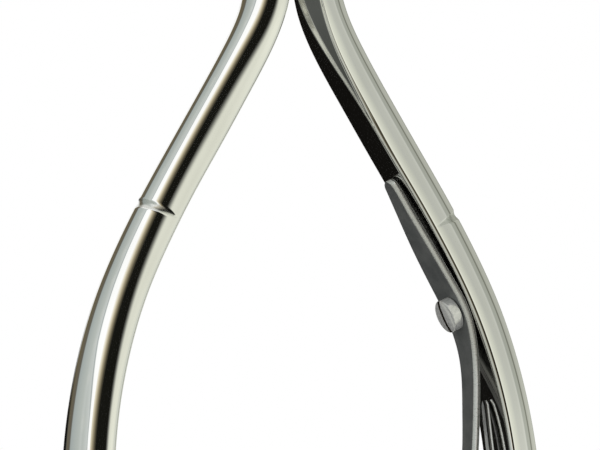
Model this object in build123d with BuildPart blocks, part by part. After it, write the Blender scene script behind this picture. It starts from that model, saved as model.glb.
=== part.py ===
from build123d import *
import math
import os

# Nail nippers with bowed half-round handles, a lap joint and a screwed leaf spring.
# Frame: origin at the pivot, pivot axis along Y, jaws towards +Z, handle ends towards -Z.
# The right half stands on +X below the joint and crosses over to the jaw on -X.
# All lengths are millimetres, all angles degrees.

OPEN_ANGLE = 7.0          # each half is turned this far from the closed position
HUB_RADIUS = 5.4          # round lap of the joint
HUB_HALF_DEPTH = 3.3      # half the joint's total thickness
HUB_EDGE = 0.35           # chamfer round the lap
LAP_GAP = 0.03            # each lap's sliding face stays this far from the middle plane
HUB_CLEARANCE = 0.15      # radial room round the other half's lap
BEYOND = 12.0             # reach of cutting bodies past the part

# Handle stations: height, half gap between the handles, thickness, half depth
HANDLE_STATIONS = (
    (-2.5, 0.45, 4.10, 3.00),
    (-6.5, 0.95, 4.70, 3.20),
    (-11.5, 1.75, 5.05, 3.30),
    (-17.0, 3.80, 5.60, 3.05),
    (-23.0, 7.10, 5.80, 2.87),
    (-29.0, 10.65, 5.85, 2.85),
    (-35.0, 14.30, 5.75, 2.95),
    (-41.0, 17.65, 5.63, 3.13),
    (-47.0, 20.58, 5.43, 3.33),
    (-53.0, 22.78, 5.26, 3.54),
    (-59.0, 24.34, 5.12, 3.75),
    (-65.0, 25.30, 5.07, 3.93),
    (-72.0, 25.72, 5.03, 4.08),
    (-79.0, 25.27, 4.90, 4.02),
    (-85.0, 24.12, 4.62, 3.83),
    (-89.5, 22.80, 4.25, 3.40),
    (-91.5, 22.32, 3.70, 2.85),
    (-92.4, 22.47, 2.80, 2.10),
    (-92.8, 22.87, 1.65, 1.25),
)
HANDLE_CORNER = 0.60      # rounding between the inner flat and the half-round

# Facet ground along the front of the inner flat, one entry for each of the first
# handle stations: depth of its inner edge and the size of the bevel along that edge
FACET_EDGES = (
    (2.90, 0.32),
    (2.40, 0.32),
    (1.20, 0.28),
    (-0.55, 0.20),
    (-1.95, 0.12),
    (-2.60, 0.08),
    (-3.25, 0.05),
)
FACET_LEAN = 4.0          # the facet falls away from the flat by this

# Ring notch across the half-round of each handle: an elliptical groove
NOTCH_CENTRE = (16.82, -38.49)
NOTCH_TILT = 28.0
NOTCH_RING_REACH = 4.90
NOTCH_RING_DEPTH = 3.74
NOTCH_WIRE_RADIUS = 0.75
NOTCH_ARC_START = -100
NOTCH_ARC_SWEEP = 200

# Jaws in the closed position: height, thickness, half depth
JAW_STATIONS = (
    (1.5, 4.6, 3.2),
    (6.0, 5.7, 3.8),
    (11.0, 5.0, 3.5),
    (16.0, 3.3, 2.5),
    (20.0, 1.3, 1.3),
)
JAW_GAP = 0.02            # each cutting edge stays this far from the middle plane
JAW_BEVEL_FACING = (-1, 1, 0)
# Hollow between the jaws: height, half width, half depth, depth of its centre
HOLLOW_STATIONS = (
    (5.7, 1.9, 3.8, 0.75),
    (11.0, 1.6, 3.4, 0.60),
    (16.0, 0.9, 2.4, 0.50),
    (19.0, 0.25, 1.2, 0.20),
)

PIVOT_RADIUS = 2.0
PIVOT_FIT = 0.03          # running clearance in the left half's bore
PIVOT_GRIP = 0.01         # clearance in the right half's bore
PIVOT_HEAD_RADIUS = 3.2
PIVOT_HEAD_DEPTH = 1.2
PIVOT_PROUD = 0.12        # both ends stand this far out of the laps
PIVOT_SLOT_WIDTH = 0.8
PIVOT_SLOT_DEPTH = 0.7
PIVOT_SLOT_ANGLE = 35.0

# Leaf spring: x and z of its middle line, and its width there
LEAF_THICKNESS = 0.75
LEAF_BEVEL_WIDTH = 0.42
LEAF_BEVEL_DEPTH = 0.38
LEAF_BEVEL_LIMIT = 1 / 3  # most of the width one bevel takes, near the tips
LEAF_LINE = (
    (11.95, -32.4, 1.10),
    (12.08, -32.65, 2.10),
    (12.40, -33.2, 2.90),
    (13.68, -35.6, 3.60),
    (15.48, -39.0, 4.60),
    (17.42, -42.5, 5.40),
    (19.13, -45.5, 5.80),
    (20.61, -48.35, 5.90),
    (21.50, -51.0, 5.30),
    (21.98, -53.6, 4.60),
    (22.15, -56.6, 4.20),
    (22.05, -60.0, 4.00),
    (21.80, -64.5, 3.70),
    (21.20, -69.5, 3.50),
    (19.80, -74.5, 3.40),
    (16.40, -79.2, 3.40),
    (11.30, -83.0, 3.40),
    (4.40, -85.4, 3.40),
    (-3.60, -86.0, 3.40),
    (-11.00, -84.8, 3.40),
    (-17.30, -81.8, 3.40),
    (-21.90, -77.6, 3.40),
    (-24.15, -73.9, 3.10),
    (-24.87, -71.6, 2.40),
    (-25.07, -70.6, 1.20),
)

# Helper leaf behind it: thinner, its free tip stands off the back of the leaf spring
HELPER_THICKNESS = 0.60
HELPER_BEVEL_WIDTH = 0.25
HELPER_BEVEL_DEPTH = 0.20
HELPER_LINE = (
    (24.00, -59.3, 0.60),
    (24.02, -59.6, 1.05),
    (24.06, -60.2, 1.30),
    (24.26, -62.8, 1.36),
    (24.50, -65.6, 1.46),
    (24.74, -68.4, 1.85),
    (25.00, -71.6, 2.80),
    (25.13, -74.6, 3.80),
    (25.03, -77.5, 4.30),
    (24.66, -80.5, 4.40),
    (24.08, -83.2, 3.90),
    (23.80, -84.4, 2.60),
    (23.72, -84.8, 1.20),
)

# Spring screws: point on the leaf's middle line, and the lean of the leaf there
SCREW_AT = (20.61, -48.35)
SCREW_LEAN = 24.0
HELPER_SCREW_AT = (24.95, -78.4)
HELPER_SCREW_LEAN = -5.0
SCREW_HEAD_RADIUS = 2.10
SCREW_WALL_HEIGHT = 1.15
SCREW_DOME_RISE = 0.30
SCREW_SEAT_GAP = 0.15     # the flat under the head clears the curved leaf by this
SCREW_SHANK_RADIUS = 1.10
SCREW_HOLE_CLEARANCE = 0.05
SCREW_LENGTH = 3.6
SCREW_SLOT_WIDTH = 0.50
SCREW_SLOT_DEPTH = 0.75

os.makedirs("parts", exist_ok=True)


def write(part, label):
    """Label a finished piece and write its STEP file."""
    part.label = label
    export_step(part, f"parts/{label}.step")


def d_section(height, gap, thickness, half_depth):
    """Half-round section in a level plane: flat at x = gap, bulging towards +x."""
    r = HANDLE_CORNER
    with BuildSketch(Plane.XY.offset(height)) as section:
        with BuildLine():
            Line((gap, half_depth - r), (gap, r - half_depth))
            RadiusArc((gap, r - half_depth), (gap + r, -half_depth), -r)
            EllipticalCenterArc((gap + r, 0), thickness - r, half_depth, start_angle=-90, arc_size=180)
            RadiusArc((gap + r, half_depth), (gap, half_depth - r), -r)
        make_face()
    return section.sketch


def facet_section(height, gap, edge, bevel):
    """What the facet takes off the handle in a level plane, bevel first."""
    fall = math.tan(math.radians(FACET_LEAN)) * (BEYOND + edge)
    with BuildSketch(Plane.XY.offset(height)) as section:
        with BuildLine():
            Polyline(
                (gap, edge),
                (gap + bevel, edge - bevel),
                (gap + bevel + fall, -BEYOND),
                (gap - BEYOND, -BEYOND),
                close=True,
            )
        make_face()
    return section.sketch


def notch_plane():
    """Plane of the ring notch, square to the handle."""
    lean = math.radians(NOTCH_TILT)
    return Plane(
        origin=(NOTCH_CENTRE[0], 0, NOTCH_CENTRE[1]),
        x_dir=(math.cos(lean), 0, math.sin(lean)),
        z_dir=(-math.sin(lean), 0, math.cos(lean)),
    )


def make_handle():
    """Right handle as far as its root, with the facet, the notch and a rounded end."""
    facet = [
        facet_section(height, gap, edge, bevel)
        for (height, gap, _, _), (edge, bevel) in zip(HANDLE_STATIONS, FACET_EDGES)
    ]
    with BuildPart() as handle:
        loft(sections=[d_section(*station) for station in HANDLE_STATIONS])
        loft(sections=facet, mode=Mode.SUBTRACT)
        with BuildLine(notch_plane()) as ring:
            EllipticalCenterArc(
                (0, 0),
                NOTCH_RING_REACH,
                NOTCH_RING_DEPTH,
                start_angle=NOTCH_ARC_START,
                arc_size=NOTCH_ARC_SWEEP,
            )
        with BuildSketch(Plane(origin=ring.line @ 0, z_dir=ring.line % 0)):
            Circle(NOTCH_WIRE_RADIUS)
        sweep(path=ring.line, mode=Mode.SUBTRACT)
    return handle.part


def make_jaw():
    """Jaw on the -x side, in the closed position, bevelled to its cutting edge."""
    with BuildPart() as jaw:
        for height, thickness, half_depth in JAW_STATIONS:
            with BuildSketch(Plane.XY.offset(height)):
                with BuildLine():
                    Line((-JAW_GAP, -half_depth), (-JAW_GAP, half_depth))
                    EllipticalCenterArc((-JAW_GAP, 0), thickness, half_depth, start_angle=90, arc_size=180)
                make_face()
        loft()
        for height, half_width, half_depth, centre in HOLLOW_STATIONS:
            with BuildSketch(Plane.XY.offset(height)):
                with Locations((0, centre)):
                    Ellipse(half_width, half_depth)
        loft(mode=Mode.SUBTRACT)
        low_z, _, low_depth = JAW_STATIONS[1]
        high_z, _, high_depth = JAW_STATIONS[-1]
        edge_line = Vector(0, low_depth - high_depth, high_z - low_z)
        split(
            bisect_by=Plane(
                origin=(-JAW_GAP, -low_depth, low_z),
                x_dir=edge_line,
                z_dir=edge_line.cross(Vector(JAW_BEVEL_FACING)),
            ),
            keep=Keep.BOTTOM,
        )
    return jaw.part


def make_lap():
    """Round lap of the joint, behind the middle plane."""
    with BuildPart() as lap:
        with BuildSketch(Plane.XZ.offset(-LAP_GAP)):
            Circle(HUB_RADIUS)
        extrude(amount=-(HUB_HALF_DEPTH - LAP_GAP))
        chamfer(lap.faces().sort_by(Axis.Y)[-1].edges(), HUB_EDGE)
    return lap.part


def make_half():
    """Right half: handle, lap behind the middle plane, and the jaw it crosses over to."""
    with BuildPart() as half:
        add(make_handle())
        add(make_jaw().rotate(Axis.Y, -OPEN_ANGLE))
        add(make_lap())
        with BuildSketch(Plane.XZ.offset(-LAP_GAP)):
            Circle(HUB_RADIUS + HUB_CLEARANCE)
        extrude(amount=BEYOND, mode=Mode.SUBTRACT)
    return half.part


def pivot_profile(clearance, front, back):
    """Half section of the countersunk pivot, as radius against depth along +y."""
    neck = PIVOT_HEAD_DEPTH - HUB_HALF_DEPTH
    with BuildSketch(Plane.XY) as profile:
        with BuildLine():
            Polyline(
                (0, front),
                (PIVOT_HEAD_RADIUS + clearance, front),
                (PIVOT_HEAD_RADIUS + clearance, -HUB_HALF_DEPTH),
                (PIVOT_RADIUS + clearance, neck),
                (PIVOT_RADIUS + clearance, back),
                (0, back),
                close=True,
            )
        make_face()
    return profile.sketch


def screw_plane(at, lean, thickness):
    """Plane on a leaf's inner face, its normal pointing to the middle of the tool."""
    lean = math.radians(lean)
    normal = Vector(-math.cos(lean), 0, -math.sin(lean))
    point = Vector(at[0], 0, at[1]) + normal * (thickness / 2 + SCREW_SEAT_GAP)
    return Plane(origin=point, x_dir=(0, 1, 0), z_dir=normal)


def make_screw(plane):
    """Slotted spring screw with a domed head, its axis along the plane's normal."""
    top = SCREW_WALL_HEIGHT + SCREW_DOME_RISE
    with BuildPart() as screw:
        with BuildSketch(Plane(origin=plane.origin, x_dir=plane.x_dir, z_dir=-plane.y_dir)):
            with BuildLine():
                EllipticalCenterArc(
                    (0, SCREW_WALL_HEIGHT), SCREW_HEAD_RADIUS, SCREW_DOME_RISE, start_angle=0, arc_size=90
                )
                Polyline(
                    (0, top),
                    (0, -SCREW_LENGTH),
                    (SCREW_SHANK_RADIUS, -SCREW_LENGTH),
                    (SCREW_SHANK_RADIUS, 0),
                    (SCREW_HEAD_RADIUS, 0),
                    (SCREW_HEAD_RADIUS, SCREW_WALL_HEIGHT),
                )
            make_face()
        revolve(axis=Axis(plane.origin, plane.z_dir))
        with BuildSketch(plane.offset(top - SCREW_SLOT_DEPTH)):
            Rectangle(SCREW_SLOT_WIDTH, BEYOND)
        extrude(amount=top, mode=Mode.SUBTRACT)
    return screw.part


def leaf_sections(line, thickness, bevel_width, bevel_depth):
    """Bevelled sections along a leaf, square to its middle line."""
    sections = []
    for i, (x, z, width) in enumerate(line):
        before = line[max(i - 1, 0)]
        after = line[min(i + 1, len(line) - 1)]
        along = Vector(after[0] - before[0], 0, after[1] - before[1]).normalized()
        plane = Plane(origin=(x, 0, z), x_dir=(0, 1, 0), z_dir=along)
        side = min(bevel_width, width * LEAF_BEVEL_LIMIT)
        with BuildSketch(plane) as section:
            with BuildLine():
                Polyline(
                    (-width / 2, thickness / 2),
                    (width / 2, thickness / 2),
                    (width / 2, bevel_depth - thickness / 2),
                    (width / 2 - side, -thickness / 2),
                    (side - width / 2, -thickness / 2),
                    (-width / 2, bevel_depth - thickness / 2),
                    close=True,
                )
            make_face()
        sections.append(section.sketch)
    return sections


def make_leaf(line, thickness, bevel_width, bevel_depth, plane):
    """Leaf lofted along its line, with a hole for its screw."""
    with BuildPart() as leaf:
        loft(sections=leaf_sections(line, thickness, bevel_width, bevel_depth))
        with BuildSketch(plane):
            Circle(SCREW_SHANK_RADIUS + SCREW_HOLE_CLEARANCE)
        extrude(amount=2 * thickness, both=True, mode=Mode.SUBTRACT)
    return leaf.part


leaf_plane = screw_plane(SCREW_AT, SCREW_LEAN, LEAF_THICKNESS)
helper_plane = screw_plane(HELPER_SCREW_AT, HELPER_SCREW_LEAN, HELPER_THICKNESS)
half = make_half()

with BuildPart() as right_half:
    add(half)
    with BuildSketch(Plane.XZ.offset(-BEYOND)):
        Circle(PIVOT_RADIUS + PIVOT_GRIP)
    extrude(amount=2 * BEYOND, mode=Mode.SUBTRACT)
    for plane in (leaf_plane, helper_plane):
        with BuildSketch(plane):
            Circle(SCREW_SHANK_RADIUS)
        extrude(amount=-SCREW_LENGTH - SCREW_HOLE_CLEARANCE, mode=Mode.SUBTRACT)
write(right_half.part, "right_half")

with BuildPart() as left_half:
    add(half.rotate(Axis.Z, 180))
    add(pivot_profile(PIVOT_FIT, -BEYOND, HUB_HALF_DEPTH))
    revolve(axis=Axis.Y, mode=Mode.SUBTRACT)
write(left_half.part, "left_half")

with BuildPart() as pivot_screw:
    add(pivot_profile(0, -HUB_HALF_DEPTH - PIVOT_PROUD, HUB_HALF_DEPTH + PIVOT_PROUD))
    revolve(axis=Axis.Y)
    with BuildSketch(Plane.XZ.offset(HUB_HALF_DEPTH - PIVOT_SLOT_DEPTH)):
        Rectangle(BEYOND, PIVOT_SLOT_WIDTH, rotation=PIVOT_SLOT_ANGLE)
    extrude(amount=BEYOND, mode=Mode.SUBTRACT)
write(pivot_screw.part, "pivot_screw")

with BuildPart() as leaf_spring:
    add(make_leaf(LEAF_LINE, LEAF_THICKNESS, LEAF_BEVEL_WIDTH, LEAF_BEVEL_DEPTH, leaf_plane))
write(leaf_spring.part, "leaf_spring")

with BuildPart() as helper_leaf:
    add(make_leaf(HELPER_LINE, HELPER_THICKNESS, HELPER_BEVEL_WIDTH, HELPER_BEVEL_DEPTH, helper_plane))
write(helper_leaf.part, "helper_leaf")

with BuildPart() as spring_screw:
    add(make_screw(leaf_plane))
write(spring_screw.part, "spring_screw")

with BuildPart() as helper_screw:
    add(make_screw(helper_plane))
write(helper_screw.part, "helper_screw")
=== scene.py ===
import math

import bmesh
import bpy
import numpy as np
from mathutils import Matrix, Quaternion, Vector


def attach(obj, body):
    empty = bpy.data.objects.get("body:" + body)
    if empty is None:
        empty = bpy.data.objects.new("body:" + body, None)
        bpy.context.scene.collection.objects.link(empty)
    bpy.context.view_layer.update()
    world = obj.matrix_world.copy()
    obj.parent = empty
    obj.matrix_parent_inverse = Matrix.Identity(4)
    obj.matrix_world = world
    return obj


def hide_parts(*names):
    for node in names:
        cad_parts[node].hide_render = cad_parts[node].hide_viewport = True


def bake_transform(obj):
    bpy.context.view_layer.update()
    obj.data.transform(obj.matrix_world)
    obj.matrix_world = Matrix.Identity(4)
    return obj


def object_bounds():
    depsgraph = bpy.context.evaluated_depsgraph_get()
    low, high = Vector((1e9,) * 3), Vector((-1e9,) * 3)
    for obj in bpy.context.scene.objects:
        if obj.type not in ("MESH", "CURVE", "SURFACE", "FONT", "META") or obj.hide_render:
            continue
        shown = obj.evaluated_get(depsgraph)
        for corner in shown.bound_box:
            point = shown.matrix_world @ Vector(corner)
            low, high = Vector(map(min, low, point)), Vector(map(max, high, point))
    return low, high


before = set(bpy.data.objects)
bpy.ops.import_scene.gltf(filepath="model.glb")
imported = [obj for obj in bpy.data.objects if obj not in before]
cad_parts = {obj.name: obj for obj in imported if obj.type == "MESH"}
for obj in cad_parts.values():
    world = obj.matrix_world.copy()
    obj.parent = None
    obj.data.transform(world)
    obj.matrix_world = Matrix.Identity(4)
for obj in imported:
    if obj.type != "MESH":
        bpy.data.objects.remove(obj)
cad_low, cad_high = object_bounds()

# The shapes repeat part.py's numbers, but the facet's step is a little deeper and the notch
# is a softer groove. They are millimetres here, and metres in the scene.
MM = 0.001

# Camera: left front, a little below the middle of the handles
VIEW_AZIMUTH = math.radians(-23.54)
VIEW_ELEVATION = math.radians(-8.67)
VIEW_ROLL = math.radians(1.71)
VIEW_DISTANCE = 0.3868
VIEW_TARGET = Vector((0.00006, 0, -0.0383))
VIEW_LENS = 192.6

# Handle stations: height, half gap between the handles, thickness, half depth. The last
# three are rounded output of a fit to the photo's outlines: report.md, Rules not kept.
HANDLE_STATIONS = (
    (-2.5, 0.45, 4.10, 3.00),
    (-6.5, 0.95, 4.70, 3.20),
    (-11.5, 1.75, 5.05, 3.30),
    (-17.0, 3.80, 5.60, 3.05),
    (-23.0, 7.10, 5.80, 2.87),
    (-29.0, 10.65, 5.85, 2.85),
    (-35.0, 14.30, 5.75, 2.95),
    (-41.0, 17.65, 5.63, 3.13),
    (-47.0, 20.58, 5.43, 3.33),
    (-53.0, 22.78, 5.26, 3.54),
    (-59.0, 24.34, 5.12, 3.75),
    (-65.0, 25.30, 5.07, 3.93),
    (-72.0, 25.72, 5.03, 4.08),
    (-79.0, 25.27, 4.90, 4.02),
    (-85.0, 24.12, 4.62, 3.83),
    (-89.5, 22.80, 4.25, 3.40),
    (-91.5, 22.32, 3.70, 2.85),
    (-92.4, 22.47, 2.80, 2.10),
    (-92.8, 22.87, 1.65, 1.25),
)
HANDLE_TOP = -7.0         # the CAD mesh stands above this height, the smooth handle below
HANDLE_CORNER = 0.60
FULL_CORNER_DEPTH = 1.8   # the corner shrinks where the half depth is less than this
SMALLEST_RADIUS = 0.2
HALF_SHARP_ANGLE = math.radians(42)

# Rows of points down the handle: fine rows round the notch, and crowded ones at the end
UPPER_ROW_STEP = 0.25
NOTCH_ROW_STEP = 0.08
LOWER_ROW_STEP = 0.50
NOTCH_ROWS_TOP = -33.0
NOTCH_ROWS_END = -41.0
END_ROWS_TOP = -91.0
HANDLE_END = -92.8
END_ROWS = 14

# Points round one row
BACK_POINTS = 9
STEP_POINTS = 37
FRONT_POINTS = 12
CORNER_POINTS = 13
ROUND_POINTS = 109

# Facet along the front of the inner flat: height, depth of its inner edge, bevel size
FACET_EDGES = (
    (-2.5, 2.90, 0.36),
    (-6.5, 2.40, 0.38),
    (-11.5, 1.20, 0.38),
    (-17.0, -0.55, 0.30),
    (-23.0, -1.95, 0.18),
    (-29.0, -2.60, 0.10),
    (-35.0, -3.25, 0.05),
)
FACET_LEAN = math.tan(math.radians(4.0))
FACET_STEP_SLOPE = 0.85
FACET_ROUNDING = 0.04
FACET_FRONT_ROUNDING = 0.40
FACET_FRONT_FADE = 0.3    # the front rounding comes in over this much of the corner
FACET_FADE = 0.5          # and over this much of the depth from the facet's inner edge
FACET_FROM_BACK = 0.12    # the inner edge keeps this far from the back corner
FACET_FROM_FRONT = 0.85   # and this far from the front one
STEP_POINTS_FROM = -0.15  # the step's points start and end here, in shares of its width
STEP_POINTS_TO = 1.65
STEP_MARGIN = 0.03        # the step's own finish reaches this far past it
NOTCH_FINISH = 1          # places of the two filed finishes among a half's materials
STEP_FINISH = 2

# Ring notch: a point on the outer edge, the tilt of its plane, its size and its reach round
NOTCH_AT = (20.75, -36.40)
NOTCH_TILT = math.radians(28.0)
NOTCH_HALF_WIDTH = 0.70
NOTCH_DEPTH = 0.21
NOTCH_SHARPNESS = 1.3
NOTCH_EDGE = 0.012        # the groove's own finish begins this deep
NOTCH_REACH = math.radians(88.0)

# Leaf spring: x and z of its middle line, and its width there
LEAF_THICKNESS = 0.75
LEAF_BEVEL_WIDTH = 0.42
LEAF_BEVEL_DEPTH = 0.38
LEAF_LINE = (
    (11.95, -32.4, 1.10),
    (12.08, -32.65, 2.10),
    (12.40, -33.2, 2.90),
    (13.68, -35.6, 3.60),
    (15.48, -39.0, 4.60),
    (17.42, -42.5, 5.40),
    (19.13, -45.5, 5.80),
    (20.61, -48.35, 5.90),
    (21.50, -51.0, 5.30),
    (21.98, -53.6, 4.60),
    (22.15, -56.6, 4.20),
    (22.05, -60.0, 4.00),
    (21.80, -64.5, 3.70),
    (21.20, -69.5, 3.50),
    (19.80, -74.5, 3.40),
    (16.40, -79.2, 3.40),
    (11.30, -83.0, 3.40),
    (4.40, -85.4, 3.40),
    (-3.60, -86.0, 3.40),
    (-11.00, -84.8, 3.40),
    (-17.30, -81.8, 3.40),
    (-21.90, -77.6, 3.40),
    (-24.15, -73.9, 3.10),
    (-24.87, -71.6, 2.40),
    (-25.07, -70.6, 1.20),
)

# Both leaves
LEAF_MOST_BEVELS = 3      # no bevel is wider than the leaf's width divided by this
LEAF_ROUNDING = 0.07
LEAF_BACK_BEVEL = 0.12
LEAF_ROW_STEP = 0.22
LEAF_TIP_LENGTH = 1.2
LEAF_TIP_ROWS = 16
LEAF_SHARP_ANGLE = math.radians(50)
FACE, BEVEL, SIDE, BACK = range(4)  # places of a leaf's materials

# Helper leaf behind it
HELPER_THICKNESS = 0.60
HELPER_BEVEL_WIDTH = 0.25
HELPER_BEVEL_DEPTH = 0.20
HELPER_LINE = (
    (24.00, -59.3, 0.60),
    (24.02, -59.6, 1.05),
    (24.06, -60.2, 1.30),
    (24.26, -62.8, 1.36),
    (24.50, -65.6, 1.46),
    (24.74, -68.4, 1.85),
    (25.00, -71.6, 2.80),
    (25.13, -74.6, 3.80),
    (25.03, -77.5, 4.30),
    (24.66, -80.5, 4.40),
    (24.08, -83.2, 3.90),
    (23.80, -84.4, 2.60),
    (23.72, -84.8, 1.20),
)

FLOOR_DROP = 0.0031       # the closing handle swings down by almost this
FLOOR_RADIUS = 0.26
FLOOR_FADE = (0.10, 0.25)
SCREW_SLOT_HALF_WIDTH = 0.252 * MM  # the slots of both spring screws lie in the middle plane
SLOT_SOFTNESS = 1.06      # the painted shade in them fades out by this share of their half width

# Studio round the object: bearing from the front, and the display colour seen there.
# The upper ring is what level and rising reflections meet, the lower ring falling ones.
# Many stops were typed from a program's print of the photo's median colour at each
# bearing, and the bends from a like print: report.md, Rules not kept.
UPPER_RING = (
    (-180, (250, 250, 250)),
    (-167, (245, 245, 243)),
    (-163, (104, 95, 70)),
    (-125, (95, 91, 82)),
    (-119, (158, 166, 164)),
    (-84, (177, 183, 178)),
    (-67, (196, 201, 198)),
    (-64, (142, 150, 149)),
    (-61, (252, 253, 252)),
    (-42, (255, 255, 255)),
    (-36, (222, 214, 190)),
    (-30, (158, 148, 122)),
    (-24, (88, 82, 66)),
    (-19, (21, 21, 17)),
    (2, (20, 20, 16)),
    (5, (120, 121, 114)),
    (9, (217, 218, 204)),
    (16, (217, 218, 204)),
    (36, (198, 200, 187)),
    (46, (185, 187, 178)),
    (62, (188, 190, 180)),
    (70, (197, 199, 190)),
    (74, (163, 166, 156)),
    (87, (166, 169, 158)),
    (90, (122, 124, 113)),
    (95, (122, 124, 113)),
    (98, (174, 176, 165)),
    (122, (180, 182, 171)),
    (154, (132, 133, 122)),
    (164, (150, 150, 142)),
    (168, (245, 245, 243)),
    (180, (250, 250, 250)),
)
LOWER_RING = (
    (-180, (15, 14, 12)),
    (-152, (16, 15, 13)),
    (-149, (72, 74, 70)),
    (-145, (78, 80, 77)),
    (-141, (172, 174, 166)),
    (-134, (172, 174, 166)),
    (-127, (60, 60, 54)),
    (-106, (70, 70, 64)),
    (-94, (160, 163, 156)),
    (-52, (186, 187, 176)),
    (-40, (120, 116, 100)),
    (-28, (62, 56, 42)),
    (-6, (62, 56, 42)),
    (6, (176, 174, 160)),
    (20, (204, 204, 190)),
    (60, (184, 186, 176)),
    (140, (172, 174, 162)),
    (166, (200, 200, 190)),
    (174, (15, 14, 12)),
    (180, (15, 14, 12)),
)
LOWER_RING_LIFT = 18.0     # it stands this many degrees higher behind the left side
LOWER_LIFT_ENDS = (-148, -136)
HORIZON = (-8, 1)          # between these heights the lower ring gives way to the upper
STEEL_REFLECTANCE = 0.95   # polished steel darkens what it mirrors by this

# The right side is brighter near the horizon: its bearings, heights and extra light
RIGHT_SIDE = (8, 16, 150, 160)
RIGHT_HEIGHTS = (2, 16)
RIGHT_EXTRA = (0.28, -0.05)

# White overhead
OVERHEAD_HEIGHTS = (52, 70)
OVERHEAD_COLOUR = (0.9, 0.9, 0.88, 1)

# The upper ring leans with height. Each bend: heights and the turn at each, then the
# bearings between which it comes in, and those between which it goes out again.
BENDS = (
    ((12, 27, 0, 7.5), (-20, -10), (150, 170)),
    ((12, 29, 7, 0), (-52, -48), (-20, -10)),
    ((17, 28, -14, 0), (-75, -68), (-46, -42)),
    ((42, 50, 0, -9), (-75, -68), (-50, -46)),
)


def linear(value):
    """Display level 0-255 as linear light."""
    v = value / 255
    return v / 12.92 if v < 0.04045 else ((v + 0.055) / 1.055) ** 2.4


def spline(knots, values, at):
    """Natural cubic spline through the values, read at other places."""
    x = np.array(knots, float)
    y = np.array(values, float)
    if x[0] > x[-1]:
        x, y = x[::-1], y[::-1]
    h = np.diff(x)
    n = len(x)
    system = np.eye(n)
    right = np.zeros_like(y)
    for i in range(1, n - 1):
        system[i, i - 1 : i + 2] = h[i - 1], 2 * (h[i - 1] + h[i]), h[i]
        right[i] = 6 * ((y[i + 1] - y[i]) / h[i] - (y[i] - y[i - 1]) / h[i - 1])
    bend = np.linalg.solve(system, right)
    at = np.asarray(at, float)
    k = np.clip(np.searchsorted(x, at) - 1, 0, n - 2)
    a, b, step = x[k + 1] - at, at - x[k], h[k]
    if y.ndim > 1:
        a, b, step = a[:, None], b[:, None], step[:, None]
    return (
        (bend[k] * a**3 + bend[k + 1] * b**3) / (6 * step)
        + (y[k] / step - bend[k] * step / 6) * a
        + (y[k + 1] / step - bend[k + 1] * step / 6) * b
    )


def soft_max(a, b, width):
    """The larger of two values, rounded over where they meet."""
    return 0.5 * (a + b + np.sqrt((a - b) ** 2 + width**2))


def make_camera():
    data = bpy.data.cameras.new("camera")
    data.lens = VIEW_LENS
    data.sensor_width = 36
    camera = bpy.data.objects.new("camera", data)
    bpy.context.scene.collection.objects.link(camera)
    level = math.cos(VIEW_ELEVATION)
    right, front = math.sin(VIEW_AZIMUTH) * level, -math.cos(VIEW_AZIMUTH) * level
    back = Vector((right, front, math.sin(VIEW_ELEVATION)))
    camera.location = VIEW_TARGET + back * VIEW_DISTANCE
    camera.rotation_mode = "QUATERNION"
    roll = Quaternion((0, 0, 1), -VIEW_ROLL)
    camera.rotation_quaternion = (-back).to_track_quat("-Z", "Y") @ roll
    bpy.context.scene.camera = camera


class Graph:
    """Short-hand for building a node tree."""

    def __init__(self, tree):
        self.tree = tree

    def node(self, kind, **inputs):
        """A new node. Its inputs go by name, or by number as in _0."""
        made = self.tree.nodes.new(kind)
        for key, value in inputs.items():
            socket = int(key[1:]) if key[1:].isdigit() else key.replace("_", " ")
            self.feed(made.inputs[socket], value)
        return made

    def feed(self, socket, value):
        if isinstance(value, bpy.types.NodeSocket):
            self.tree.links.new(value, socket)
        else:
            socket.default_value = value

    def math(self, operation, *values):
        made = self.tree.nodes.new("ShaderNodeMath")
        made.operation = operation
        for socket, value in zip(made.inputs, values):
            self.feed(socket, value)
        return made.outputs[0]

    def spread(self, value, low, high, out_low=0.0, out_high=1.0, smooth=False):
        made = self.tree.nodes.new("ShaderNodeMapRange")
        made.interpolation_type = "SMOOTHSTEP" if smooth else "LINEAR"
        names = ("Value", "From Min", "From Max", "To Min", "To Max")
        for name, given in zip(names, (value, low, high, out_low, out_high)):
            self.feed(made.inputs[name], given)
        return made.outputs["Result"]

    def mix(self, factor, a, b):
        made = self.tree.nodes.new("ShaderNodeMix")
        made.data_type = "RGBA"
        self.feed(made.inputs["Factor"], factor)
        for socket, value in ((made.inputs[6], a), (made.inputs[7], b)):
            self.feed(socket, value)
        return made.outputs[2]

    def ramp(self, value, stops):
        made = self.tree.nodes.new("ShaderNodeValToRGB")
        elements = made.color_ramp.elements
        for i, (place, colour) in enumerate(stops):
            element = elements[i] if i < 2 else elements.new(place)
            element.position = place
            element.color = (*colour, 1)
        self.feed(made.inputs[0], value)
        return made.outputs[0]


def ring_stops(ring):
    """The ring as colour ramp stops, bright enough for the steel to show it as listed."""
    return [
        ((bearing + 180) / 360, tuple(linear(level) / STEEL_REFLECTANCE for level in colour))
        for bearing, colour in ring
    ]


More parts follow.
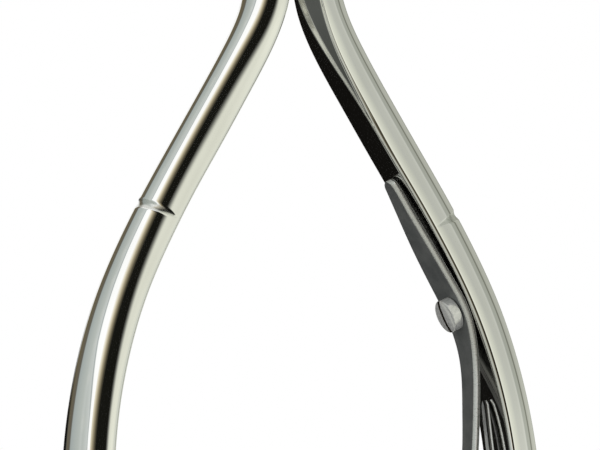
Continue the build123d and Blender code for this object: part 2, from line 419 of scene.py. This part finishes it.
def make_studio():
    """White surroundings. Only reflections see the two graded rings and the overhead."""
    world = bpy.data.worlds.new("studio")
    world.use_nodes = True
    bpy.context.scene.world = world
    bpy.context.scene.view_settings.view_transform = "Standard"
    g = Graph(world.node_tree)
    direction = g.node("ShaderNodeSeparateXYZ", _0=g.node("ShaderNodeTexCoord").outputs["Generated"])
    x, y, z = direction.outputs
    bearing = g.math("MULTIPLY", g.math("ARCTAN2", x, g.math("MULTIPLY", y, -1.0)), 180 / math.pi)
    height = g.math("MULTIPLY", g.math("ARCSINE", z), 180 / math.pi)
    bent = bearing
    for turn_by_height, comes_in, goes_out in BENDS:
        band = g.math("MULTIPLY", g.spread(bearing, *comes_in), g.spread(bearing, *goes_out, 1, 0))
        bent = g.math("ADD", bent, g.math("MULTIPLY", g.spread(height, *turn_by_height), band))
    upper = g.ramp(g.spread(bent, -180, 180), ring_stops(UPPER_RING))
    lower = g.ramp(g.spread(bearing, -180, 180), ring_stops(LOWER_RING))
    unlifted = g.spread(bearing, *LOWER_LIFT_ENDS)
    lift = g.math("MULTIPLY", g.math("SUBTRACT", 1.0, unlifted), LOWER_RING_LIFT)
    rise = g.math("SUBTRACT", height, lift)
    both = g.mix(g.spread(rise, *HORIZON, smooth=True), lower, upper)
    right_from, right_full, right_fades, right_to = RIGHT_SIDE
    right_from_front = g.spread(bearing, right_from, right_full)
    right_side = g.math("MULTIPLY", right_from_front, g.spread(bearing, right_fades, right_to, 1, 0))
    extra = g.math("MULTIPLY", g.spread(height, *RIGHT_HEIGHTS, *RIGHT_EXTRA), right_side)
    lit = g.node("ShaderNodeVectorMath", _0=both)
    lit.operation = "SCALE"
    g.feed(lit.inputs["Scale"], g.math("ADD", 1.0, extra))
    up = g.spread(height, *OVERHEAD_HEIGHTS, smooth=True)
    mirrored = g.mix(up, lit.outputs[0], OVERHEAD_COLOUR)
    seen = g.mix(g.node("ShaderNodeLightPath").outputs["Is Glossy Ray"], (1, 1, 1, 1), mirrored)
    g.feed(world.node_tree.nodes["Background"].inputs["Color"], seen)


def make_floor():
    """Pale floor under the handle ends, fading into the white surroundings."""
    bm = bmesh.new()
    bmesh.ops.create_circle(bm, cap_ends=True, segments=96, radius=FLOOR_RADIUS)
    data = bpy.data.meshes.new("floor")
    bm.to_mesh(data)
    bm.free()
    floor = bpy.data.objects.new("floor", data)
    bpy.context.scene.collection.objects.link(floor)
    floor.location = (0, 0, cad_low[2] - FLOOR_DROP)
    floor.visible_glossy = False
    material = bpy.data.materials.new("floor")
    material.use_nodes = True
    g = Graph(material.node_tree)
    paint = material.node_tree.nodes["Principled BSDF"]
    paint.inputs["Base Color"].default_value = (0.93, 0.93, 0.93, 1)
    paint.inputs["Roughness"].default_value = 0.9
    paint.inputs["Specular IOR Level"].default_value = 0.1
    place = g.node("ShaderNodeTexCoord").outputs["Object"]
    length = g.node("ShaderNodeVectorMath", _0=place)
    length.operation = "LENGTH"
    clear = g.node("ShaderNodeBsdfTransparent").outputs[0]
    fade = g.node("ShaderNodeMixShader", _1=paint.outputs[0], _2=clear)
    g.feed(fade.inputs[0], g.spread(length.outputs["Value"], *FLOOR_FADE, smooth=True))
    g.feed(material.node_tree.nodes["Material Output"].inputs["Surface"], fade.outputs[0])
    data.materials.append(material)


def metal(name, colour, roughness, metallic=1.0):
    """A Principled metal and the graph to refine it with."""
    material = bpy.data.materials.new(name)
    material.use_nodes = True
    surface = material.node_tree.nodes["Principled BSDF"]
    surface.inputs["Base Color"].default_value = (*colour, 1)
    surface.inputs["Metallic"].default_value = metallic
    surface.inputs["Roughness"].default_value = roughness
    return material, surface, Graph(material.node_tree)


def noise(g, place, scale, detail=3.0, stretch=(1, 1, 1)):
    """Noise in object coordinates, stretched along the axes."""
    mapped = g.node("ShaderNodeMapping", Vector=place, Scale=stretch).outputs[0]
    made = g.node("ShaderNodeTexNoise", Vector=mapped, Scale=scale, Detail=detail)
    return made.outputs["Fac"]


def bump(g, surface, height, distance, strength):
    made = g.node("ShaderNodeBump", Height=height, Distance=distance, Strength=strength)
    g.feed(surface.inputs["Normal"], made.outputs["Normal"])


def polished_steel():
    """Mirror-polished stainless steel with faint buffing marks and worn edges."""
    material, surface, g = metal("polished_steel", (0.95, 0.95, 0.94), 0.05)
    place = g.node("ShaderNodeTexCoord").outputs["Object"]
    smears = noise(g, place, 160, 4, (1, 1, 0.35))
    grain = noise(g, place, 2600, 2, (1, 1, 0.06))
    edges = g.spread(g.node("ShaderNodeNewGeometry").outputs["Pointiness"], 0.52, 0.60)
    tone = g.mix(g.spread(smears, 0.35, 0.75), (0.96, 0.96, 0.95, 1), (0.91, 0.91, 0.89, 1))
    g.feed(surface.inputs["Base Color"], g.mix(edges, tone, (0.99, 0.98, 0.96, 1)))
    gloss = g.math("ADD", g.spread(smears, 0.4, 0.8, 0.03, 0.075), g.math("MULTIPLY", edges, 0.05))
    g.feed(surface.inputs["Roughness"], gloss)
    bump(g, surface, grain, 0.000001, 0.1)
    return material


def filed_steel(name, dark, light, roughness):
    """Filed steel that was polished only lightly, with fine file marks."""
    material, surface, g = metal(name, light, roughness)
    place = g.node("ShaderNodeTexCoord").outputs["Object"]
    file_marks = noise(g, place, 3000, 2, (0.2, 0.2, 1))
    tone = g.mix(g.spread(file_marks, 0.3, 0.7), (*dark, 1), (*light, 1))
    g.feed(surface.inputs["Base Color"], tone)
    g.feed(surface.inputs["Roughness"], g.spread(file_marks, 0.3, 0.7, 0.8 * roughness, 1.3 * roughness))
    bump(g, surface, file_marks, 0.000002, 0.15)
    return material


def leaf_face_steel():
    """Dark blasted spring steel, satin, a little cloudy."""
    material, surface, g = metal("leaf_face_steel", (0.3, 0.31, 0.31), 0.42, 0.75)
    place = g.node("ShaderNodeTexCoord").outputs["Object"]
    cloud = noise(g, place, 420, 5)
    grain = noise(g, place, 9000, 2)
    tone = g.mix(g.spread(cloud, 0.3, 0.7), (0.17, 0.18, 0.182, 1), (0.25, 0.258, 0.255, 1))
    pits = g.spread(grain, 0.35, 0.7, 0, 0.3)
    g.feed(surface.inputs["Base Color"], g.mix(pits, tone, (0.12, 0.122, 0.122, 1)))
    g.feed(surface.inputs["Roughness"], g.spread(grain, 0.3, 0.7, 0.36, 0.5))
    bump(g, surface, grain, 0.000012, 0.35)
    return material


def leaf_bevel_steel():
    """The ground bevel along the leaf: brighter, with grinding marks across it."""
    material, surface, g = metal("leaf_bevel_steel", (0.52, 0.52, 0.5), 0.3, 0.9)
    place = g.node("ShaderNodeTexCoord").outputs["Object"]
    marks = noise(g, place, 5200, 3, (1, 0.15, 1))
    tone = g.mix(g.spread(marks, 0.3, 0.7), (0.72, 0.725, 0.71, 1), (0.82, 0.82, 0.80, 1))
    g.feed(surface.inputs["Base Color"], tone)
    g.feed(surface.inputs["Roughness"], g.spread(marks, 0.3, 0.7, 0.26, 0.34))
    bump(g, surface, marks, 0.000002, 0.1)
    return material


def leaf_edge_steel():
    """The sheared edge of the leaf: speckled grey."""
    material, surface, g = metal("leaf_edge_steel", (0.2, 0.2, 0.19), 0.5, 0.7)
    place = g.node("ShaderNodeTexCoord").outputs["Object"]
    speckle = noise(g, place, 6500, 2)
    tone = g.mix(g.spread(speckle, 0.4, 0.65), (0.085, 0.087, 0.085, 1), (0.19, 0.19, 0.18, 1))
    g.feed(surface.inputs["Base Color"], tone)
    g.feed(surface.inputs["Roughness"], g.spread(speckle, 0.3, 0.7, 0.35, 0.6))
    bump(g, surface, speckle, 0.000003, 0.2)
    return material


def leaf_painted_shade_steel(name, dark, light):
    """The back of a leaf: smoother, drawn lengthwise, in the darker colours given for painted shade."""
    material, surface, g = metal(name, light, 0.3, 0.95)
    place = g.node("ShaderNodeTexCoord").outputs["Object"]
    lines = noise(g, place, 3600, 3, (1, 1, 0.05))
    g.feed(surface.inputs["Base Color"], g.mix(g.spread(lines, 0.3, 0.7), (*dark, 1), (*light, 1)))
    g.feed(surface.inputs["Roughness"], g.spread(lines, 0.3, 0.7, 0.24, 0.36))
    bump(g, surface, lines, 0.000005, 0.25)
    return material


def helper_steel():
    """Brighter drawn strip with fine lines along it."""
    material, surface, g = metal("helper_steel", (0.8, 0.81, 0.79), 0.26, 0.3)
    place = g.node("ShaderNodeTexCoord").outputs["Object"]
    lines = noise(g, place, 4200, 3, (1, 1, 0.08))
    tone = g.mix(g.spread(lines, 0.3, 0.7), (0.8, 0.82, 0.79, 1), (0.9, 0.92, 0.89, 1))
    g.feed(surface.inputs["Base Color"], tone)
    g.feed(surface.inputs["Roughness"], g.spread(lines, 0.3, 0.7, 0.2, 0.34))
    bump(g, surface, lines, 0.000008, 0.3)
    return material


def screw_steel(name, slot_half_width=0.0):
    """Turned screw steel with fine marks from the lathe, and painted shade in the slot."""
    material, surface, g = metal(name, (0.72, 0.72, 0.69), 0.2, 0.62)
    place = g.node("ShaderNodeTexCoord").outputs["Object"]
    marks = noise(g, place, 3200, 3)
    tone = g.mix(g.spread(marks, 0.3, 0.7), (0.62, 0.63, 0.61, 1), (0.76, 0.76, 0.73, 1))
    if slot_half_width:
        across = g.math("ABSOLUTE", g.node("ShaderNodeSeparateXYZ", _0=place).outputs["Y"])
        # Painted shade: the slot is painted near-black and made less metallic, standing in for the shade
        # in its recess.
        painted_slot_shade = g.spread(across, slot_half_width, slot_half_width * SLOT_SOFTNESS, 1, 0)
        tone = g.mix(painted_slot_shade, tone, (0.035, 0.03, 0.022, 1))
        g.feed(surface.inputs["Metallic"], g.spread(painted_slot_shade, 0, 1, 0.62, 0.2))
    g.feed(surface.inputs["Base Color"], tone)
    g.feed(surface.inputs["Roughness"], g.spread(marks, 0.3, 0.7, 0.16, 0.26))
    bump(g, surface, marks, 0.000003, 0.15)
    return material


def new_piece(name, bm, materials):
    data = bpy.data.meshes.new(name)
    bm.to_mesh(data)
    bm.free()
    for material in materials:
        data.materials.append(material)
    piece = bpy.data.objects.new(name, data)
    bpy.context.scene.collection.objects.link(piece)
    return piece


def outline(gap, thickness, half_depth, edge, step_width):
    """Half-round outline, from the back end of the inner flat round to it again.

    The points on the flat crowd round the facet's step, and keep their places on it.
    """
    r = HANDLE_CORNER * min(1, half_depth / FULL_CORNER_DEPTH)
    back = half_depth - r
    edge = np.clip(edge, FACET_FROM_FRONT - back, back - FACET_FROM_BACK)
    on_step = edge - step_width * np.linspace(STEP_POINTS_FROM, STEP_POINTS_TO, STEP_POINTS)
    behind = np.linspace(back, on_step[0], BACK_POINTS)[:-1]
    before = np.linspace(on_step[-1], -back, FRONT_POINTS)[1:]
    flat = np.concatenate([behind, on_step, before])
    turn = np.radians(np.linspace(180, 270, CORNER_POINTS))[1:-1]
    corner_x = gap + r + r * np.cos(turn)
    corner_y = r - half_depth + r * np.sin(turn)
    sweep = np.radians(np.linspace(-90, 90, ROUND_POINTS))
    round_x = gap + r + (thickness - r) * np.cos(sweep)
    round_y = half_depth * np.sin(sweep)
    x = np.concatenate([np.full(flat.shape, gap), corner_x, round_x, corner_x[::-1]])
    y = np.concatenate([flat, corner_y, round_y, -corner_y[::-1]])
    return x, y


def row_heights():
    """Heights of the handle's rows, from the top down."""
    upper = np.arange(HANDLE_TOP, NOTCH_ROWS_TOP, -UPPER_ROW_STEP)
    notch = np.arange(NOTCH_ROWS_TOP, NOTCH_ROWS_END, -NOTCH_ROW_STEP)
    lower = np.arange(NOTCH_ROWS_END, END_ROWS_TOP, -LOWER_ROW_STEP)
    end_share = np.cos(np.linspace(0, math.pi / 2, END_ROWS)) ** 2
    end = HANDLE_END + (END_ROWS_TOP - HANDLE_END) * end_share
    return sorted({round(h, 3) for h in np.concatenate([upper, notch, lower, end])}, reverse=True)


def handle_rows():
    """Rows of points down the right handle, with the facet and the notch shaped in.

    Each row comes with the finish of its points: polished, or one of the filed ones.
    """
    stations = np.array(HANDLE_STATIONS)
    facet = np.array(FACET_EDGES)
    facet_end = facet[-1, 0]
    across_x, across_z = math.cos(NOTCH_TILT), math.sin(NOTCH_TILT)
    for height in np.array(row_heights()):
        sizes = (spline(stations[:, 0], stations[:, i], [height])[0] for i in (1, 2, 3))
        gap, thickness, half_depth = (float(size) for size in sizes)
        edge, bevel = spline(facet[:, 0], facet[:, 1:], [max(height, facet_end)])[0]
        x, y = outline(gap, thickness, half_depth, edge, bevel / (FACET_STEP_SLOPE - FACET_LEAN))
        fall = edge - y
        if height > facet_end:
            step = -soft_max(-FACET_STEP_SLOPE * fall, -bevel - FACET_LEAN * fall, FACET_ROUNDING)
            cut = gap + soft_max(step, 0, FACET_ROUNDING) * (fall > -FACET_FADE)
            on_corner = np.clip((x - gap) / FACET_FRONT_FADE, 0, 1)
            curved = on_corner * np.clip(fall / FACET_FADE, 0, 1)
            rounded = soft_max(x, cut, FACET_ROUNDING + FACET_FRONT_ROUNDING * curved)
            x = np.where((curved > 0) & (y < 0), rounded, np.maximum(x, cut))
        reach = max(thickness - HANDLE_CORNER, SMALLEST_RADIUS)
        out_x = (x - gap - HANDLE_CORNER) / reach
        out_y = y / half_depth
        share = np.clip(1 - (np.arctan2(np.abs(out_y), out_x) / NOTCH_REACH) ** 2, 0, 1)
        beside = (height - NOTCH_AT[1]) * across_x - (x - NOTCH_AT[0]) * across_z
        inside = np.clip(1 - (beside / NOTCH_HALF_WIDTH) ** 2 / np.maximum(share, 0.01), 0, 1)
        sink = NOTCH_DEPTH * share * inside**NOTCH_SHARPNESS
        normal_x, normal_y = out_x / reach, out_y / half_depth
        size = np.hypot(normal_x, normal_y) + 1e-9
        x = x - sink * normal_x / size
        y = y - sink * normal_y / size
        on_step = (fall > -STEP_MARGIN) & (FACET_STEP_SLOPE * fall < bevel + STEP_MARGIN)
        stepped = on_step & (height > facet_end) & (out_x < 0)
        finish = np.where(sink > NOTCH_EDGE, NOTCH_FINISH, np.where(stepped, STEP_FINISH, 0))
        yield np.stack([x, y, np.full(x.shape, height)], axis=1), finish


def make_half(name, node, side, body, materials):
    """One forging: its lap and jaw as in the CAD mesh, and a smooth handle below them."""
    bm = bmesh.new()
    bm.from_mesh(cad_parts[node].data)
    geometry = bm.verts[:] + bm.edges[:] + bm.faces[:]
    top = (0, 0, HANDLE_TOP * MM)
    bmesh.ops.bisect_plane(bm, geom=geometry, plane_co=top, plane_no=(0, 0, 1), clear_inner=True)
    for face in bm.faces:
        face.material_index = 0
    rings = []
    finishes = []
    for row, finish in handle_rows():
        turned = row * MM * np.array((side, side, 1))
        rings.append([bm.verts.new(p) for p in turned])
        finishes.append(finish)
    made = []
    for k, (upper, lower) in enumerate(zip(rings, rings[1:])):
        finish = np.minimum(finishes[k], finishes[k + 1])
        for i in range(len(upper)):
            j = (i + 1) % len(upper)
            face = bm.faces.new((upper[i], upper[j], lower[j], lower[i]))
            face.material_index = int(min(finish[i], finish[j]))
            made.append(face)
    made.append(bm.faces.new(rings[-1]))
    for face in bm.faces:
        face.smooth = True
    bmesh.ops.recalc_face_normals(bm, faces=made)
    piece = new_piece(name, bm, materials)
    piece.data.set_sharp_from_angle(angle=HALF_SHARP_ANGLE)
    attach(piece, body)
    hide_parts(node)


def make_leaf(name, node, line, thickness, bevel_width, bevel_depth, materials):
    """Leaf with a bevelled inner face, rounded along its edges, swept along its line.

    Its materials are those of the face, the bevels, the sides and the back, in that order.
    """
    points = np.array(line)
    steps = np.hypot(*np.diff(points[:, :2], axis=0).T)
    length = np.concatenate([[0], np.cumsum(steps)])
    evenly = np.arange(0, length[-1], LEAF_ROW_STEP)
    at_tip = np.linspace(0, LEAF_TIP_LENGTH, LEAF_TIP_ROWS)
    at = np.unique(np.round(np.concatenate([evenly, at_tip, length[-1:]]), 4))
    path = spline(length, points, at)
    along = np.gradient(path[:, :2], at, axis=0)
    along /= np.linalg.norm(along, axis=1)[:, None]
    bm = bmesh.new()
    rings = []
    for (x, z, width), (ax, az) in zip(path, along):
        inner = np.array((az, -ax))
        side = min(bevel_width, width / LEAF_MOST_BEVELS)
        half, flat = width / 2, width / 2 - side
        top, brow = thickness / 2, thickness / 2 - bevel_depth
        r = min(LEAF_ROUNDING, side / 4)
        back = min(LEAF_BACK_BEVEL, half / 2)
        slope = np.array((side, -bevel_depth)) / math.hypot(side, bevel_depth)
        section = [(flat * k, top) for k in np.linspace(-1, 1, 9)[1:-1]]
        section += [(flat - r, top), (flat + slope[0] * r, top + slope[1] * r)]
        section += [(half - slope[0] * r, brow - slope[1] * r), (half, brow - r)]
        section += [(half, back - top), (half - back, -top)]
        section += [(back - half, -top), (-half, back - top)]
        section += [(-half, brow - r), (slope[0] * r - half, brow - slope[1] * r)]
        section += [(-flat - slope[0] * r, top + slope[1] * r), (r - flat, top)]
        ring = []
        for across, out in section:
            px, pz = np.array((x, z)) + inner * out
            ring.append(bm.verts.new((px * MM, -across * MM, pz * MM)))
        rings.append(ring)
    zones = [FACE] * 7 + [BEVEL] * 3 + [SIDE, BEVEL, BACK, BEVEL, SIDE] + [BEVEL] * 3 + [FACE]
    for upper, lower in zip(rings, rings[1:]):
        for i in range(len(upper)):
            j = (i + 1) % len(upper)
            face = bm.faces.new((upper[i], upper[j], lower[j], lower[i]))
            face.material_index = zones[i]
            face.smooth = True
    for ring in (rings[0], rings[-1]):
        bm.faces.new(ring).material_index = SIDE
    bmesh.ops.recalc_face_normals(bm, faces=bm.faces[:])
    piece = new_piece(name, bm, materials)
    piece.data.set_sharp_from_angle(angle=LEAF_SHARP_ANGLE)
    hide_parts(node)
    return piece


def give(node, material):
    """Put a material on a CAD node that keeps its shape."""
    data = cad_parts[node].data
    data.materials.clear()
    data.materials.append(material)


make_camera()
make_studio()
make_floor()

halves = [
    polished_steel(),
    filed_steel("notch_steel", (0.66, 0.67, 0.64), (0.78, 0.79, 0.76), 0.2),
    filed_steel("step_steel", (0.80, 0.80, 0.78), (0.9, 0.9, 0.88), 0.14),
]
screws = screw_steel("spring_screw_steel", SCREW_SLOT_HALF_WIDTH)
make_half("right_half_polished", "right_half", 1, "fixed_half", halves)
make_half("left_half_polished", "left_half", -1, "moving_half", halves)
give("spring_screw", screws)
give("helper_screw", screws)
give("pivot_screw", screw_steel("pivot_screw_steel"))

leaf = make_leaf(
    "leaf_spring_bevelled",
    "leaf_spring",
    LEAF_LINE,
    LEAF_THICKNESS,
    LEAF_BEVEL_WIDTH,
    LEAF_BEVEL_DEPTH,
    [
        leaf_face_steel(),
        leaf_bevel_steel(),
        leaf_edge_steel(),
        # Painted shade: the back of the leaf faces the handle and is given darker colours than its face.
        leaf_painted_shade_steel("leaf_painted_shade_steel", (0.10, 0.10, 0.095), (0.18, 0.18, 0.17)),
    ],
)
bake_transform(leaf)

strip = helper_steel()
helper = make_leaf(
    "helper_leaf_bevelled",
    "helper_leaf",
    HELPER_LINE,
    HELPER_THICKNESS,
    HELPER_BEVEL_WIDTH,
    HELPER_BEVEL_DEPTH,
    [
        strip,
        # Painted shade: the helper's bevels and back are near-black against its bright face, for the
        # shade between the parts.
        leaf_painted_shade_steel("helper_bevel_painted_shade_steel", (0.10, 0.10, 0.10), (0.2, 0.2, 0.19)),
        strip,
        leaf_painted_shade_steel("helper_back_painted_shade_steel", (0.05, 0.05, 0.05), (0.11, 0.11, 0.10)),
    ],
)
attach(helper, "fixed_half")
